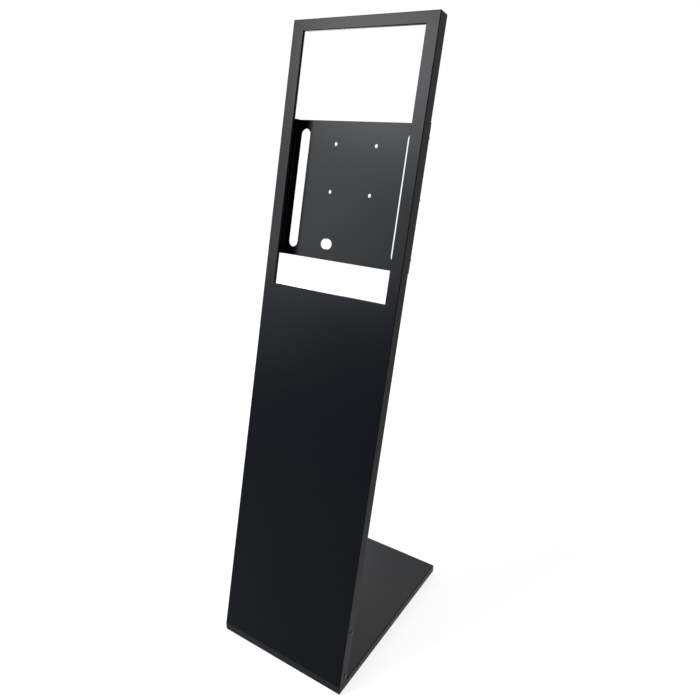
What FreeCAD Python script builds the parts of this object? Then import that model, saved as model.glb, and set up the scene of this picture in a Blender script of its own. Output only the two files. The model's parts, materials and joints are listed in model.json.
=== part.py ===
import FreeCAD, Part
import Sketcher
import os

# Digital signage stand of folded sheet steel: a leaning upright with a portrait window,
# a bracket for a display across the back of the window, and a flat base behind the foot.
# X runs across the stand, Y from front to back and Z up. Lengths are in millimetres.
# The origin lies on the floor, under the middle of the base.

# Name, value and meaning of each driving dimension
DIMENSIONS = [
    ("lean_angle", 14.4, "lean of the upright from vertical, degrees"),
    ("sheet", 1.2, "sheet of the upright, the base and the braces"),
    ("bend", 0.4, "inner radius of a bend in that sheet"),
    ("stand_width", 342.5, "width of the upright and of the base"),
    ("panel_length", 1413.0, "length of the leaning face, from the foot bend to the top"),
    ("panel_depth", 28.0, "depth of the side and top returns"),
    ("rear_lip", 11.0, "width of the lips round the back"),
    ("window_width", 286.5, "clear width of the window"),
    ("window_height", 530.5, "clear height of the window"),
    ("top_border", 23.5, "face above the window"),
    ("window_lip", 6.5, "depth of the lips round the window"),
    ("bracket_sheet", 2.0, "sheet of the bracket"),
    ("bracket_bend", 1.0, "inner radius of a bend in the bracket"),
    ("bracket_height", 293.0, "height of the bracket"),
    ("bracket_drop", 52.5, "window's middle to the bracket's middle, downward"),
    ("bracket_offset", 8.5, "rear lips to the front of the bracket's plate"),
    ("bracket_inset", 0.5, "outer edge of a flange inside the side of the upright"),
    ("flange_width", 17.5, "width of a bracket flange"),
    ("display_drop", 3.5, "window's middle to the middle of the display holes, downward"),
    ("display_hole_spacing", 100.0, "distance between display holes, both ways"),
    ("display_hole", 8.0, "diameter of a display hole"),
    ("slot_spacing", 264.6, "distance between the long slots"),
    ("slot_width", 24.2, "width of a long slot"),
    ("slot_margin", 18.5, "bracket edge to the end of a slot"),
    ("cable_hole_width", 29.5, "width of the cable hole"),
    ("cable_hole_height", 22.4, "height of the cable hole"),
    ("cable_hole_side", 42.6, "cable hole from the middle of the bracket, to the left"),
    ("cable_hole_rise", 34.5, "bracket's lower edge to the middle of the cable hole"),
    ("stud", 5.0, "thread of the bracket studs"),
    ("stud_side", 6.0, "side of the upright to a stud"),
    ("stud_margin", 28.0, "end of the bracket to the outer studs"),
    ("stud_beyond", 2.0, "stud beyond its nut"),
    ("stud_head", 7.0, "diameter of a stud's head"),
    ("stud_head_height", 1.4, "height of a stud's head"),
    ("flange_nut_flats", 8.0, "across the flats of a flange nut"),
    ("flange_nut_rim", 11.0, "rim of a flange nut"),
    ("flange_nut_rim_height", 1.2, "height of that rim"),
    ("flange_nut_height", 5.0, "height of a flange nut"),
    ("base_depth", 469.0, "base from front to back"),
    ("base_height", 20.5, "height of the base and of the foot strip"),
    ("base_lip", 12.0, "width of the lips under the base"),
    ("floor_sheet", 3.0, "thickness of the floor plate"),
    ("floor_inset", 0.5, "floor plate inside the walls of the base"),
    ("foot_height", 4.0, "height of a rubber foot"),
    ("foot_diameter", 24.0, "diameter of a rubber foot on the floor plate"),
    ("foot_taper", 1.5, "how much smaller a foot's radius is on the floor"),
    ("foot_inset", 34.0, "side and ends of the base to a foot"),
    ("foot_recess", 9.6, "recess in a foot for its screw head"),
    ("foot_web", 1.2, "rubber above that recess"),
    ("corner_sheet", 3.0, "thickness of a corner plate"),
    ("corner_rise", 142.0, "corner plate up the upright"),
    ("corner_run", 105.0, "front of the base to the rear end of a corner plate"),
    ("corner_lead", 13.5, "leaning face to a corner plate"),
    ("corner_heel", 5.2, "front of the base to a corner plate"),
    ("corner_gap", 0.3, "clearance of a corner plate from bends and slots"),
    ("side_screw", 4.0, "thread of the side screws"),
    ("side_screw_head", 7.6, "head of a side screw"),
    ("side_screw_head_height", 2.2, "height of that head"),
    ("side_screw_dome", 1.7, "rounding of that head"),
    ("side_screw_length", 10.0, "shank of a side screw"),
    ("side_screw_key", 2.5, "hexagon key of a side screw"),
    ("upright_screw_low", 20.0, "foot bend to the lower screw of the upright"),
    ("upright_screw_step", 108.0, "between the two screws of the upright"),
    ("base_screw_front", 40.0, "front of the base to its first screw"),
    ("base_screw_step", 41.0, "between the two screws of the base"),
    ("side_nut_flats", 7.0, "across the flats of a side nut"),
    ("side_nut_height", 3.2, "height of a side nut"),
    ("brace_height", 30.0, "height of a brace"),
    ("brace_depth", 18.0, "depth of a brace"),
    ("sill_gap", 2.5, "window lip to the sill brace"),
    ("middle_brace_rise", 430.0, "foot bend to the middle brace"),
    ("foot_brace_rise", 60.0, "foot bend to the foot brace"),
    ("rail_width", 40.0, "width of a rail in the base"),
    ("rail_gap", 1.0, "rail's end to the lips under the base"),
    ("front_rail_inset", 170.0, "front of the base to the front rail"),
    ("rear_rail_inset", 92.0, "rear of the base to the rear rail"),
    ("plate_screw", 4.0, "thread of the screws under the base"),
    ("plate_screw_head", 7.6, "head of a screw under the base"),
    ("plate_screw_head_height", 2.2, "height of that head"),
    ("plate_screw_dome", 1.7, "rounding of that head"),
    ("plate_screw_key", 2.5, "hexagon key of a screw under the base"),
    ("plate_screw_beyond", 2.0, "screw under the base beyond its nut"),
    ("plate_screw_front", 130.0, "front of the base to the first floor plate screw"),
    ("plate_screw_rear", 23.0, "rear of the base to the last floor plate screw"),
    ("plate_nut_flats", 7.0, "across the flats of a nut in the base"),
    ("plate_nut_height", 3.2, "height of a nut in the base"),
    ("key_depth", 1.5, "depth of a hexagon key in its screw head"),
    ("hole_play", 0.3, "screw hole wider than its screw"),
]

doc = FreeCAD.newDocument("signage_stand")
sheet = doc.addObject("Spreadsheet::Sheet", "dims")
for row, (alias, size, meaning) in enumerate(DIMENSIONS, start=1):
    sheet.set("A%d" % row, meaning)
    sheet.set("B%d" % row, str(size))
    sheet.setAlias("B%d" % row, alias)
doc.recompute()

# Places that several pieces share, as expressions of the driving dimensions
SINE = "sin(dims.lean_angle * 1 deg)"
COSINE = "cos(dims.lean_angle * 1 deg)"
TANGENT = "tan(dims.lean_angle * 1 deg)"
SIDE = "(dims.stand_width / 2)"
INSIDE = "(dims.stand_width / 2 - dims.sheet)"
BEND_OUTSIDE = "(dims.bend + dims.sheet)"
BASE_TOP = "(dims.foot_height + dims.base_height)"
TRAY_BOTTOM = "(dims.foot_height + dims.floor_sheet)"
LIP_TOP = f"({TRAY_BOTTOM} + dims.sheet)"
FRONT = "(-dims.base_depth / 2)"
REAR = "(dims.base_depth / 2)"
TRAY_FRONT = f"({FRONT} + dims.sheet)"
WINDOW_SIDE = "(dims.window_width / 2)"
WINDOW_TOP = "(dims.panel_length - dims.top_border)"
WINDOW_BOTTOM = f"({WINDOW_TOP} - dims.window_height)"
WINDOW_MIDDLE = f"({WINDOW_TOP} - dims.window_height / 2)"
BRACKET_BOTTOM = f"({WINDOW_MIDDLE} - dims.bracket_drop - dims.bracket_height / 2)"
BRACKET_TOP = f"({BRACKET_BOTTOM} + dims.bracket_height)"
DISPLAY_MIDDLE = f"({WINDOW_MIDDLE} - dims.display_drop)"
FLANGE_REAR = "(dims.panel_depth + dims.bracket_sheet)"
PLATE_FRONT = "(dims.panel_depth + dims.bracket_offset)"
STUD_SIDE = "(dims.stand_width / 2 - dims.stud_side)"
STUD_HOLE = "(dims.stud + dims.hole_play)"
CORNER_INNER = f"({INSIDE} - dims.corner_sheet)"
CORNER_REAR = "(dims.panel_depth - dims.sheet - dims.bend - dims.corner_gap)"
CORNER_TOP = f"({BASE_TOP} - dims.sheet - dims.bend - dims.corner_gap)"
CORNER_BOTTOM = f"({LIP_TOP} + dims.bend + dims.corner_gap)"
SIDE_HOLE = "(dims.side_screw + dims.hole_play)"
PLATE_HOLE = "(dims.plate_screw + dims.hole_play)"
FOOT_SIDE = "(dims.stand_width / 2 - dims.foot_inset)"

# Centres of the holes in each face, across and up that face's sketch
STUD_RISES = [f"({BRACKET_BOTTOM} + dims.stud_margin)",
              f"({BRACKET_BOTTOM} + dims.bracket_height / 2)",
              f"({BRACKET_TOP} - dims.stud_margin)"]
UPRIGHT_SCREW_DEPTH = f"((dims.corner_lead + {CORNER_REAR}) / 2)"
UPRIGHT_SCREWS = [(UPRIGHT_SCREW_DEPTH, "dims.upright_screw_low"),
                  (UPRIGHT_SCREW_DEPTH, "dims.upright_screw_low + dims.upright_screw_step")]
BASE_SCREW_HEIGHT = f"(({CORNER_TOP} + {CORNER_BOTTOM}) / 2)"
BASE_SCREWS = [(f"{FRONT} + dims.base_screw_front", BASE_SCREW_HEIGHT),
               (f"{FRONT} + dims.base_screw_front + dims.base_screw_step", BASE_SCREW_HEIGHT)]
LIP_MIDDLE = "(dims.stand_width / 2 - dims.base_lip / 2)"
PLATE_SCREW_FIRST = f"({FRONT} + dims.plate_screw_front)"
PLATE_SCREW_LAST = f"({REAR} - dims.plate_screw_rear)"
PLATE_SCREW_MIDDLE = f"(({PLATE_SCREW_FIRST} + {PLATE_SCREW_LAST}) / 2)"
PLATE_SCREWS = [(across, place) for across in (f"-{LIP_MIDDLE}", LIP_MIDDLE)
                for place in (PLATE_SCREW_FIRST, PLATE_SCREW_MIDDLE, PLATE_SCREW_LAST)]
FEET = {"foot_front_left": (f"-{FOOT_SIDE}", f"({FRONT} + dims.foot_inset)"),
        "foot_front_right": (FOOT_SIDE, f"({FRONT} + dims.foot_inset)"),
        "foot_rear_left": (f"-{FOOT_SIDE}", f"({REAR} - dims.foot_inset)"),
        "foot_rear_right": (FOOT_SIDE, f"({REAR} - dims.foot_inset)")}

# Sign of each origin plane's normal along the axis of its body
PLANE_NORMAL = {"XY_Plane": 1, "XZ_Plane": -1, "YZ_Plane": 1}
SIDES = (("left", -1), ("right", 1))
SAME_PLACE = 0.01


def value(expression):
    """Number that an expression of the sheet gives now."""
    result = sheet.evalExpression(expression)
    return float(getattr(result, "Value", result))


def new_body(label, leaning=False):
    """Body of one sub-part. A leaning one has its origin at the foot bend and leans back."""
    body = doc.addObject("PartDesign::Body", label)
    body.Label = label
    if leaning:
        lean = FreeCAD.Rotation(FreeCAD.Vector(-1, 0, 0), value("dims.lean_angle"))
        body.Placement = FreeCAD.Placement(FreeCAD.Vector(0, 0, 0), lean)
        body.setExpression("Placement.Base.y", FRONT)
        body.setExpression("Placement.Base.z", BASE_TOP)
        body.setExpression("Placement.Rotation.Angle", "dims.lean_angle * 1 deg")
    return body


def new_sketch(body, plane, place="0", shift=None):
    """Sketch parallel to an origin plane of its body, at a place along the body's axis."""
    origin_plane = [item for item in body.Origin.OriginFeatures if item.Role == plane][0]
    sketch = body.newObject("Sketcher::SketchObject", body.Label + "_sketch")
    sketch.AttachmentSupport = [(origin_plane, "")]
    sketch.MapMode = "FlatFace"
    if place != "0":
        sketch.setExpression("AttachmentOffset.Base.z", f"{PLANE_NORMAL[plane]} * ({place})")
    if shift is not None:
        sketch.setExpression("AttachmentOffset.Base.x", shift)
    return sketch


def pin_point(sketch, geometry, position, across, up):
    """Fix a sketch point at two expressions from the sketch's origin."""
    for kind, axis, expression in (("DistanceX", -2, across), ("DistanceY", -1, up)):
        if expression == "0":
            sketch.addConstraint(Sketcher.Constraint("PointOnObject", geometry, position, axis))
            continue
        distance = Sketcher.Constraint(kind, -1, 1, geometry, position, value(expression))
        index = sketch.addConstraint(distance)
        sketch.setExpression("Constraints[%d]" % index, expression)


def add_polygon(sketch, corners):
    """Closed outline through corners given as pairs of expressions."""
    first = sketch.GeometryCount
    points = [FreeCAD.Vector(value(across), value(up), 0) for across, up in corners]
    for start, end in zip(points, points[1:] + points[:1]):
        sketch.addGeometry(Part.LineSegment(start, end), False)
    for number, (across, up) in enumerate(corners):
        pin_point(sketch, first + number, 1, across, up)
        following = first + (number + 1) % len(corners)
        sketch.addConstraint(Sketcher.Constraint("Coincident", first + number, 2, following, 1))


def add_rectangle(sketch, half_width, bottom, top):
    """Rectangle about the sketch's upright axis."""
    left = f"-({half_width})"
    add_polygon(sketch, [(left, bottom), (half_width, bottom), (half_width, top), (left, top)])


def add_circle(sketch, across, up, diameter):
    """Circle with its centre at two expressions."""
    centre = FreeCAD.Vector(value(across), value(up), 0)
    circle = Part.Circle(centre, FreeCAD.Vector(0, 0, 1), value(diameter) / 2)
    geometry = sketch.addGeometry(circle, False)
    pin_point(sketch, geometry, 3, across, up)
    index = sketch.addConstraint(Sketcher.Constraint("Diameter", geometry, value(diameter)))
    sketch.setExpression("Constraints[%d]" % index, diameter)


def add_hexagon(sketch, across, up, flats):
    """Hexagon with two flats facing across the sketch."""
    corner = f"({flats}) / sqrt(3)"
    offsets = [(f"({flats}) / 2", f"{corner} / 2"), ("0", corner),
               (f"-({flats}) / 2", f"{corner} / 2"), (f"-({flats}) / 2", f"-{corner} / 2"),
               ("0", f"-{corner}"), (f"({flats}) / 2", f"-{corner} / 2")]
    add_polygon(sketch, [(f"{across} + ({right})", f"{up} + ({above})") for right, above in offsets])


def add_obround(sketch, across, up, length, width, upright):
    """Slot with round ends, its length running up or across the sketch."""
    first = sketch.GeometryCount
    reach = f"(({length}) - ({width})) / 2"
    radius = value(width) / 2
    along = FreeCAD.Vector(0, 1, 0) if upright else FreeCAD.Vector(1, 0, 0)
    beside = FreeCAD.Vector(-along.y, along.x, 0)
    middle = FreeCAD.Vector(value(across), value(up), 0)
    for sign in (1, -1):
        centre = middle + along * sign * value(reach)
        start = centre - beside * sign * radius
        top = centre + along * sign * radius
        end = centre + beside * sign * radius
        sketch.addGeometry(Part.Arc(start, top, end), False)
        place = (across, f"{up} + {sign} * {reach}") if upright else (f"{across} + {sign} * {reach}", up)
        pin_point(sketch, sketch.GeometryCount - 1, 3, *place)
    far, near = first, first + 1
    index = sketch.addConstraint(Sketcher.Constraint("Radius", far, radius))
    sketch.setExpression("Constraints[%d]" % index, f"({width}) / 2")
    sketch.addConstraint(Sketcher.Constraint("Equal", far, near))
    for sign in (1, -1):
        start = middle + along * value(reach) + beside * sign * radius
        end = middle - along * value(reach) + beside * sign * radius
        sketch.addGeometry(Part.LineSegment(start, end), False)
    left, right = first + 2, first + 3
    for arc, arc_end, line, line_end in ((far, 2, left, 1), (near, 1, left, 2),
                                         (far, 1, right, 1), (near, 2, right, 2)):
        sketch.addConstraint(Sketcher.Constraint("Tangent", arc, arc_end, line, line_end))


def add_feature(body, kind, sketch, length, way):
    """Pad or pocket along the body's axis: way 1 is forward, -1 is back, 0 is both ways."""
    feature = body.newObject("PartDesign::" + kind, f"{body.Label}_{kind.lower()}")
    feature.Profile = sketch
    feature.setExpression("Length", length)
    plane = sketch.AttachmentSupport[0][0].Role
    runs_backward = PLANE_NORMAL[plane] * way < 0
    feature.Reversed = runs_backward if kind == "Pad" else not runs_backward
    if way == 0:
        feature.SideType = "Symmetric"
    body.Tip = feature
    return feature


def edges_on(shape, lines):
    """Names of the edges whose ends lie on one of the lines, each given by its coordinates."""
    names = []
    for number, edge in enumerate(shape.Edges, start=1):
        ends = [vertex.Point for vertex in edge.Vertexes]
        for line in lines:
            if all(abs(getattr(end, axis) - place) < SAME_PLACE
                   for end in ends for axis, place in line.items()):
                names.append("Edge%d" % number)
                break
    return names


def round_edges(body, lines, radius):
    """Fillet of the edges on some lines of a body."""
    doc.recompute()
    base = body.Tip
    fillet = body.newObject("PartDesign::Fillet", body.Label + "_fillet")
    fillet.Base = (base, edges_on(base.Shape, lines))
    fillet.setExpression("Radius", radius)
    body.Tip = fillet


def add_screws(body, plane, seat, way, places, thread, length, head, head_height):
    """Shanks from a seat, with heads on the other side of it; way is the heads' direction."""
    shank = new_sketch(body, plane, seat)
    cap = new_sketch(body, plane, seat)
    for across, up in places:
        add_circle(shank, across, up, thread)
        add_circle(cap, across, up, head)
    add_feature(body, "Pad", shank, length, -way)
    add_feature(body, "Pad", cap, head_height, way)


def add_keys(body, plane, seat, way, places, head_height, dome, key):
    """Rounds the heads of the screws and cuts their hexagon keys."""
    top = f"{seat} + {way} * {head_height}"
    axis = {"YZ_Plane": "x", "XZ_Plane": "y", "XY_Plane": "z"}[plane]
    round_edges(body, [{axis: value(top)}], dome)
    socket = new_sketch(body, plane, top)
    for across, up in places:
        add_hexagon(socket, across, up, key)
    add_feature(body, "Pocket", socket, "dims.key_depth", -way)


def add_nuts(body, plane, seat, way, places, flats, height, thread):
    """Hexagon nuts that stand on a seat."""
    sketch = new_sketch(body, plane, seat)
    for across, up in places:
        add_hexagon(sketch, across, up, flats)
        add_circle(sketch, across, up, thread)
    add_feature(body, "Pad", sketch, height, way)


def build_front_panel():
    """Leaning face with its returns, rear lips, window and foot strip, folded from one sheet."""
    body = new_body("front_panel", leaning=True)
    side, inside = value(SIDE), value(INSIDE)
    thick, depth = value("dims.sheet"), value("dims.panel_depth")
    top = value("dims.panel_length")

    profile = new_sketch(body, "YZ_Plane")
    add_polygon(profile, [("0", "0"), ("dims.panel_depth", f"dims.panel_depth * {TANGENT}"),
                          ("dims.panel_depth", "dims.panel_length"), ("0", "dims.panel_length")])
    add_feature(body, "Pad", profile, "dims.stand_width", 0)
    round_edges(body, [{"x": x, "y": y} for x in (-side, side) for y in (0, depth)]
                + [{"y": y, "z": top} for y in (0, depth)]
                + [{"x": x, "z": top} for x in (-side, side)], BEND_OUTSIDE)

    hollow = new_sketch(body, "YZ_Plane")
    back = "dims.panel_depth - dims.sheet"
    head = "dims.panel_length - dims.sheet"
    add_polygon(hollow, [("dims.sheet", "0"), (back, "0"), (back, head), ("dims.sheet", head)])
    add_feature(body, "Pocket", hollow, f"2 * {INSIDE}", 0)
    round_edges(body, [{"x": x, "y": y} for x in (-inside, inside) for y in (thick, depth - thick)]
                + [{"y": y, "z": top - thick} for y in (thick, depth - thick)]
                + [{"x": x, "z": top - thick} for x in (-inside, inside)], "dims.bend")

    rear_opening = new_sketch(body, "XZ_Plane", "dims.panel_depth")
    add_rectangle(rear_opening, f"{SIDE} - dims.rear_lip", "0", "dims.panel_length - dims.rear_lip")
    add_feature(body, "Pocket", rear_opening, "dims.sheet", -1)

    window = new_sketch(body, "XZ_Plane")
    add_rectangle(window, WINDOW_SIDE, WINDOW_BOTTOM, WINDOW_TOP)
    add_feature(body, "Pocket", window, "dims.sheet", 1)
    lips = new_sketch(body, "XZ_Plane")
    add_rectangle(lips, WINDOW_SIDE, WINDOW_BOTTOM, WINDOW_TOP)
    add_rectangle(lips, f"{WINDOW_SIDE} + dims.sheet", f"{WINDOW_BOTTOM} - dims.sheet",
                  f"{WINDOW_TOP} + dims.sheet")
    add_feature(body, "Pad", lips, "dims.window_lip", 1)
    edge, sill, lintel = value(WINDOW_SIDE), value(WINDOW_BOTTOM), value(WINDOW_TOP)
    round_edges(body, [{"x": x, "y": 0} for x in (-edge, edge)]
                + [{"y": 0, "z": z} for z in (sill, lintel)], BEND_OUTSIDE)
    round_edges(body, [{"x": x, "y": thick} for x in (-edge - thick, edge + thick)]
                + [{"y": thick, "z": z} for z in (sill - thick, lintel + thick)], "dims.bend")

    strip = new_sketch(body, "YZ_Plane")
    foot = (f"dims.base_height * {SINE}", f"-dims.base_height * {COSINE}")
    behind = (f"dims.sheet * {COSINE}", f"dims.sheet * {SINE}")
    add_polygon(strip, [("0", "0"), foot, (f"{foot[0]} + {behind[0]}", f"{foot[1]} + {behind[1]}"), behind])
    add_feature(body, "Pad", strip, "dims.stand_width", 0)

    screw_holes = new_sketch(body, "YZ_Plane")
    for across, up in UPRIGHT_SCREWS:
        add_circle(screw_holes, across, up, SIDE_HOLE)
    add_feature(body, "Pocket", screw_holes, "dims.stand_width", 0)

    stud_holes = new_sketch(body, "XZ_Plane", "dims.panel_depth")
    for rise in STUD_RISES:
        add_circle(stud_holes, f"-{STUD_SIDE}", rise, STUD_HOLE)
        add_circle(stud_holes, STUD_SIDE, rise, STUD_HOLE)
    add_feature(body, "Pocket", stud_holes, "dims.sheet", -1)


def build_bracket():
    """Hat-shaped plate across the back, with the display holes, long slots and cable hole."""
    body = new_body("vesa_bracket", leaning=True)
    outer = f"({SIDE} - dims.bracket_inset)"
    wall_front = f"({outer} - dims.flange_width)"
    wall_rear = f"({wall_front} + dims.bracket_sheet)"
    plate_rear = f"({PLATE_FRONT} + dims.bracket_sheet)"
    right = [(wall_rear, plate_rear), (wall_rear, FLANGE_REAR), (outer, FLANGE_REAR),
             (outer, "dims.panel_depth"), (wall_front, "dims.panel_depth"), (wall_front, PLATE_FRONT)]
    left = [(f"-{across}", up) for across, up in reversed(right)]
    section = new_sketch(body, "XY_Plane", BRACKET_BOTTOM)
    add_polygon(section, right + left)
    add_feature(body, "Pad", section, "dims.bracket_height", 1)
    round_edges(body, [{"x": sign * value(wall_rear), "y": value(plate_rear)} for sign in (-1, 1)]
                + [{"x": sign * value(wall_front), "y": value("dims.panel_depth")} for sign in (-1, 1)],
                "dims.bracket_bend + dims.bracket_sheet")
    round_edges(body, [{"x": sign * value(wall_rear), "y": value(FLANGE_REAR)} for sign in (-1, 1)]
                + [{"x": sign * value(wall_front), "y": value(PLATE_FRONT)} for sign in (-1, 1)],
                "dims.bracket_bend")

    plate_holes = new_sketch(body, "XZ_Plane", PLATE_FRONT)
    for side in (-1, 1):
        for rise in (-1, 1):
            add_circle(plate_holes, f"{side} * dims.display_hole_spacing / 2",
                       f"{DISPLAY_MIDDLE} + {rise} * dims.display_hole_spacing / 2", "dims.display_hole")
        add_obround(plate_holes, f"{side} * dims.slot_spacing / 2",
                    f"({BRACKET_BOTTOM} + dims.bracket_height / 2)",
                    "dims.bracket_height - 2 * dims.slot_margin", "dims.slot_width", upright=True)
    add_obround(plate_holes, "-dims.cable_hole_side", f"({BRACKET_BOTTOM} + dims.cable_hole_rise)",
                "dims.cable_hole_width", "dims.cable_hole_height", upright=False)
    add_feature(body, "Pocket", plate_holes, "dims.bracket_sheet", 1)

    stud_holes = new_sketch(body, "XZ_Plane", "dims.panel_depth")
    for rise in STUD_RISES:
        add_circle(stud_holes, f"-{STUD_SIDE}", rise, STUD_HOLE)
        add_circle(stud_holes, STUD_SIDE, rise, STUD_HOLE)
    add_feature(body, "Pocket", stud_holes, "dims.bracket_sheet", 1)


def build_brace(label, bottom, half_width):
    """Channel against the back of the leaning face, open to the rear."""
    body = new_body(label, leaning=True)
    front, back = "dims.sheet", "(dims.sheet + dims.brace_depth)"
    web = "(2 * dims.sheet)"
    top = f"({bottom} + dims.brace_height)"
    shelf, ceiling = f"({bottom} + dims.sheet)", f"({top} - dims.sheet)"
    section = new_sketch(body, "YZ_Plane")
    add_polygon(section, [(front, bottom), (back, bottom), (back, shelf), (web, shelf),
                          (web, ceiling), (back, ceiling), (back, top), (front, top)])
    add_feature(body, "Pad", section, f"2 * {half_width}", 0)
    round_edges(body, [{"y": value(front), "z": value(end)} for end in (bottom, top)], BEND_OUTSIDE)
    round_edges(body, [{"y": value(web), "z": value(end)} for end in (shelf, ceiling)], "dims.bend")


def build_bracket_fasteners(side, sign):
    """Studs in one rear lip and the flange nuts that hold the bracket on them."""
    places = [(f"{sign} * {STUD_SIDE}", rise) for rise in STUD_RISES]
    studs = new_body("bracket_studs_" + side, leaning=True)
    add_screws(studs, "XZ_Plane", "(dims.panel_depth - dims.sheet)", -1, places, "dims.stud",
               "dims.sheet + dims.bracket_sheet + dims.flange_nut_height + dims.stud_beyond",
               "dims.stud_head", "dims.stud_head_height")
    nuts = new_body("bracket_nuts_" + side, leaning=True)
    rims = new_sketch(nuts, "XZ_Plane", FLANGE_REAR)
    for across, up in places:
        add_circle(rims, across, up, "dims.flange_nut_rim")
        add_circle(rims, across, up, "dims.stud")
    add_feature(nuts, "Pad", rims, "dims.flange_nut_rim_height", 1)
    add_nuts(nuts, "XZ_Plane", FLANGE_REAR, 1, places, "dims.flange_nut_flats",
             "dims.flange_nut_height", "dims.stud")


def leaning_point(depth, height):
    """Place on a level line where the upright is cut at some depth behind its face."""
    return (f"({FRONT} + {depth} / {COSINE} + ({height} - {BASE_TOP}) * {TANGENT})", height)


def top_point(depth):
    """Upper end of a corner plate, at some depth behind the leaning face."""
    return (f"({FRONT} + dims.corner_rise * {SINE} + {depth} * {COSINE})",
            f"({BASE_TOP} + dims.corner_rise * {COSINE} - {depth} * {SINE})")


def build_corner_plate(side, sign):
    """Plate that ties one side of the upright to the same side of the base."""
    body = new_body("corner_plate_" + side)
    outline = new_sketch(body, "YZ_Plane", f"{sign} * {CORNER_INNER}")
    heel, toe = f"({FRONT} + dims.corner_heel)", f"({FRONT} + dims.corner_run)"
    add_polygon(outline, [(heel, CORNER_BOTTOM), (toe, CORNER_BOTTOM), (toe, CORNER_TOP),
                          leaning_point(CORNER_REAR, CORNER_TOP), top_point(CORNER_REAR),
                          top_point("dims.corner_lead"), leaning_point("dims.corner_lead", CORNER_TOP),
                          (heel, CORNER_TOP)])
    add_feature(body, "Pad", outline, "dims.corner_sheet", sign)
    holes = new_sketch(body, "YZ_Plane", f"{sign} * {CORNER_INNER}")
    for depth, rise in UPRIGHT_SCREWS:
        add_circle(holes, f"{FRONT} + ({rise}) * {SINE} + {depth} * {COSINE}",
                   f"{BASE_TOP} + ({rise}) * {COSINE} - {depth} * {SINE}", SIDE_HOLE)
    for across, up in BASE_SCREWS:
        add_circle(holes, across, up, SIDE_HOLE)
    add_feature(body, "Pocket", holes, "dims.corner_sheet", sign)


def build_side_fasteners(group, side, sign, places, leaning):
    """Screws through one side into a corner plate, and the nuts on that plate."""
    screws = new_body(f"{group}_screws_{side}", leaning)
    seat = f"{sign} * {SIDE}"
    add_screws(screws, "YZ_Plane", seat, sign, places, "dims.side_screw", "dims.side_screw_length",
               "dims.side_screw_head", "dims.side_screw_head_height")
    add_keys(screws, "YZ_Plane", seat, sign, places, "dims.side_screw_head_height",
             "dims.side_screw_dome", "dims.side_screw_key")
    nuts = new_body(f"{group}_nuts_{side}", leaning)
    add_nuts(nuts, "YZ_Plane", f"{sign} * {CORNER_INNER}", -sign, places, "dims.side_nut_flats",
             "dims.side_nut_height", "dims.side_screw")


def build_base_tray():
    """Top of the base with its four walls and the lips under them, folded from one sheet."""
    body = new_body("base_tray")
    height = f"({BASE_TOP} - {TRAY_BOTTOM})"
    outline = new_sketch(body, "XY_Plane", TRAY_BOTTOM)
    add_rectangle(outline, SIDE, TRAY_FRONT, REAR)
    add_feature(body, "Pad", outline, height, 1)
    round_all(body, BEND_OUTSIDE)

    hollow = new_sketch(body, "XY_Plane", LIP_TOP)
    add_rectangle(hollow, INSIDE, f"{TRAY_FRONT} + dims.sheet", f"{REAR} - dims.sheet")
    add_feature(body, "Pocket", hollow, f"{height} - 2 * dims.sheet", 1)
    inside, front, rear = value(INSIDE), value(f"{TRAY_FRONT} + dims.sheet"), value(f"{REAR} - dims.sheet")
    floor, ceiling = value(LIP_TOP), value(f"{BASE_TOP} - dims.sheet")
    round_edges(body, [{"x": x, "z": z} for x in (-inside, inside) for z in (floor, ceiling)]
                + [{"y": y, "z": z} for y in (front, rear) for z in (floor, ceiling)]
                + [{"x": x, "y": y} for x in (-inside, inside) for y in (front, rear)], "dims.bend")

    opening = new_sketch(body, "XY_Plane", TRAY_BOTTOM)
    add_rectangle(opening, f"{SIDE} - dims.base_lip", f"{TRAY_FRONT} + dims.base_lip",
                  f"{REAR} - dims.base_lip")
    add_feature(body, "Pocket", opening, "dims.sheet", 1)

    slots = new_sketch(body, "XY_Plane", BASE_TOP)
    inner = f"({CORNER_INNER} - dims.corner_gap)"
    slot_front = f"({leaning_point('dims.corner_lead', CORNER_TOP)[0]} - dims.corner_gap)"
    slot_rear = f"({leaning_point(CORNER_REAR, BASE_TOP)[0]} + dims.corner_gap)"
    for sign in ("-", ""):
        add_polygon(slots, [(sign + inner, slot_front), (sign + INSIDE, slot_front),
                            (sign + INSIDE, slot_rear), (sign + inner, slot_rear)])
    add_feature(body, "Pocket", slots, f"{BASE_TOP} - {CORNER_TOP}", -1)

    side_holes = new_sketch(body, "YZ_Plane")
    for across, up in BASE_SCREWS:
        add_circle(side_holes, across, up, SIDE_HOLE)
    add_feature(body, "Pocket", side_holes, "dims.stand_width", 0)

    lip_holes = new_sketch(body, "XY_Plane", TRAY_BOTTOM)
    for across, up in PLATE_SCREWS:
        add_circle(lip_holes, across, up, PLATE_HOLE)
    add_feature(body, "Pocket", lip_holes, "dims.sheet", 1)


def round_all(body, radius):
    """Fillet of every edge of a body."""
    doc.recompute()
    base = body.Tip
    fillet = body.newObject("PartDesign::Fillet", body.Label + "_fillet")
    fillet.Base = (base, ["Edge%d" % number for number in range(1, len(base.Shape.Edges) + 1)])
    fillet.setExpression("Radius", radius)
    body.Tip = fillet


def build_floor_plate():
    """Flat plate under the base, on which the feet are fastened."""
    body = new_body("floor_plate")
    outline = new_sketch(body, "XY_Plane", "dims.foot_height")
    add_rectangle(outline, f"{SIDE} - dims.floor_inset", f"{TRAY_FRONT} + dims.floor_inset",
                  f"{REAR} - dims.floor_inset")
    for across, up in PLATE_SCREWS + list(FEET.values()):
        add_circle(outline, across, up, PLATE_HOLE)
    add_feature(body, "Pad", outline, "dims.floor_sheet", 1)


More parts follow.
